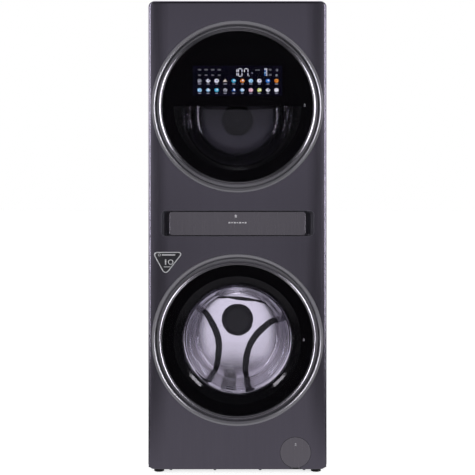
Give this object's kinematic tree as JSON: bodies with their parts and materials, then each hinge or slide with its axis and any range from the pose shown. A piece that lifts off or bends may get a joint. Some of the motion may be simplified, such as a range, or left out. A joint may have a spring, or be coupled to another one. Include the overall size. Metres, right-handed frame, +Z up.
{
  "type": "washer dryer stack",
  "caption": "Tall laundry cabinet with a dryer above a washer, round glass doors, a detergent drawer between them and a display in the upper door.",
  "frame": {"origin": "on the floor under the middle of the whole body, halfway between the door rims and the rear hose spigots", "axes": "+Z up, -Y out of the front with the doors, +X to the right seen from the front"},
  "size_m": [0.6, 0.65, 1.59],
  "materials": {
    "cabinet_paint": "satin",
    "galvanised_steel": "satin",
    "bracket_steel": "satin",
    "surround_trim": "gloss",
    "bezel_metal": "polished",
    "door_glass": "polished",
    "bowl_glass": "polished",
    "door_black": "gloss",
    "ring_grey": "satin",
    "display_glow": "gloss",
    "black_plastic": "matte",
    "recess_grey": "satin",
    "panel_plastic": "satin",
    "drawer_plastic": "satin",
    "gasket_rubber": "matte",
    "black_rubber": "matte",
    "tub_plastic": "matte",
    "counterweight_stone": "matte",
    "drum_steel": "polished",
    "lifter_black": "satin",
    "cast_alloy": "satin",
    "motor_steel": "satin",
    "filter_mesh": "matte"
  },
  "bodies": {
    "root": {"front_panel": "cabinet_paint", "left_side_panel": "cabinet_paint", "right_side_panel": "cabinet_paint", "top_cover": "cabinet_paint", "rear_panel": "galvanised_steel", "base_tray": "galvanised_steel", "middle_shelf": "galvanised_steel", "rear_feet": "black_rubber", "panel_screws": "bracket_steel", "hinge_brackets": "bracket_steel", "door_locks": "black_plastic", "lower_door_surround": "surround_trim", "upper_door_surround": "surround_trim", "dispenser_housing": "recess_grey", "inlet_valve": "drawer_plastic", "cord_gland": "black_plastic", "drain_pump": "black_plastic", "washer_gasket": "gasket_rubber", "tub_springs": "bracket_steel", "damper_cylinders": "bracket_steel", "dryer_front_ring": "galvanised_steel", "dryer_belt": "black_rubber", "dryer_motor": "galvanised_steel", "heat_pump_module": "cast_alloy"},
    "front_left_foot": {"front_left_foot": "black_rubber"},
    "front_right_foot": {"front_right_foot": "black_rubber"},
    "lower_door": {"lower_door_bezel": "bezel_metal", "lower_door_glass": "door_glass", "lower_door_frame": "door_black", "lower_door_bowl": "bowl_glass", "lower_door_rear_ring": "ring_grey"},
    "lower_hook": {"lower_latch_hook": "black_plastic"},
    "upper_door": {"upper_door_bezel": "bezel_metal", "upper_door_glass": "door_glass", "upper_door_frame": "door_black", "upper_door_bowl": "bowl_glass", "upper_door_rear_ring": "ring_grey", "display_module": "display_glow"},
    "upper_hook": {"upper_latch_hook": "black_plastic"},
    "drawer": {"detergent_drawer": "drawer_plastic", "drawer_front": "panel_plastic"},
    "filter_plug": {"filter_plug": "black_plastic"},
    "filter_flap": {"filter_flap": "panel_plastic"},
    "washer_tub": {"tub_front": "tub_plastic", "tub_rear": "tub_plastic", "counterweights": "counterweight_stone", "damper_rods": "bracket_steel", "motor_stator": "motor_steel", "washer_bearings": "bracket_steel"},
    "washer_drum": {"washer_drum": "drum_steel", "washer_lifters": "lifter_black", "washer_hub_cap": "lifter_black", "washer_spider": "cast_alloy", "motor_rotor": "motor_steel"},
    "dryer_drum": {"dryer_drum": "drum_steel", "dryer_lifters": "lifter_black"},
    "motor_shaft": {"motor_pulley": "cast_alloy"},
    "left_roller": {"dryer_roller_left": "black_rubber"},
    "right_roller": {"dryer_roller_right": "black_rubber"},
    "lint_filter": {"lint_filter": "filter_mesh"}
  },
  "joints": [
    {"name": "upper_door_hinge", "type": "hinge", "parent": "root", "child": "upper_door", "pos_m": [-0.256, -0.312, 1.2325], "axis": [0, 0, -1], "range_deg": [0, 97]},
    {"name": "lower_door_hinge", "type": "hinge", "parent": "root", "child": "lower_door", "pos_m": [-0.256, -0.312, 0.45], "axis": [0, 0, -1], "range_deg": [0, 97]},
    {"name": "upper_latch", "type": "hinge", "parent": "upper_door", "child": "upper_hook", "pos_m": [0.238, -0.303, 1.2325], "axis": [0, 0, -1], "range_deg": [0, 10], "stiffness_Nm_per_rad": 0.1, "springref_deg": -11.46},
    {"name": "lower_latch", "type": "hinge", "parent": "lower_door", "child": "lower_hook", "pos_m": [0.238, -0.303, 0.45], "axis": [0, 0, -1], "range_deg": [0, 10], "stiffness_Nm_per_rad": 0.1, "springref_deg": -11.46},
    {"name": "drawer_slide", "type": "slide", "parent": "root", "child": "drawer", "axis": [0, -1, 0], "range_m": [0, 0.23]},
    {"name": "tub_float", "type": "slide", "parent": "root", "child": "washer_tub", "axis": [0, 0, 1], "range_m": [-0.012, 0.012], "stiffness_N_per_m": 20000, "springref_m": 0.0155, "deforming": ["tub_springs", "washer_gasket"]},
    {"name": "washer_drum_spin", "type": "hinge", "parent": "washer_tub", "child": "washer_drum", "pos_m": [0, 0, 0.45], "axis": [0, 1, 0], "continuous": true},
    {"name": "dryer_drum_spin", "type": "hinge", "parent": "root", "child": "dryer_drum", "pos_m": [0, 0, 1.21], "axis": [0, 1, 0], "continuous": true},
    {"name": "motor_spin", "type": "hinge", "parent": "root", "child": "motor_shaft", "pos_m": [0.225, 0, 0.965], "axis": [0, 1, 0], "continuous": true},
    {"name": "left_roller_spin", "type": "hinge", "parent": "root", "child": "left_roller", "pos_m": [-0.122, 0, 0.94802], "axis": [0, 1, 0], "continuous": true},
    {"name": "right_roller_spin", "type": "hinge", "parent": "root", "child": "right_roller", "pos_m": [0.122, 0, 0.94802], "axis": [0, 1, 0], "continuous": true},
    {"name": "lint_filter_lift", "type": "slide", "parent": "root", "child": "lint_filter", "axis": [0, 0, 1], "range_m": [0, 0.028]},
    {"name": "filter_flap_hinge", "type": "hinge", "parent": "root", "child": "filter_flap", "pos_m": [0.1945, -0.3114, 0.0192], "axis": [1, 0, 0], "range_deg": [0, 90]},
    {"name": "filter_plug_turn", "type": "hinge", "parent": "root", "child": "filter_plug", "pos_m": [0.1945, -0.3, 0.0727], "axis": [0, 1, 0], "range_deg": [0, 180]},
    {"name": "front_left_foot_turn", "type": "hinge", "parent": "root", "child": "front_left_foot", "pos_m": [-0.2656, -0.268, 0], "axis": [0, 0, 1], "continuous": true},
    {"name": "front_right_foot_turn", "type": "hinge", "parent": "root", "child": "front_right_foot", "pos_m": [0.2656, -0.268, 0], "axis": [0, 0, 1], "continuous": true}
  ],
  "couplings": [
    {"joint": "motor_spin", "follows": "dryer_drum_spin", "ratio": 14.556},
    {"joint": "left_roller_spin", "follows": "dryer_drum_spin", "ratio": -9.8868},
    {"joint": "right_roller_spin", "follows": "dryer_drum_spin", "ratio": -9.8868}
  ]
}
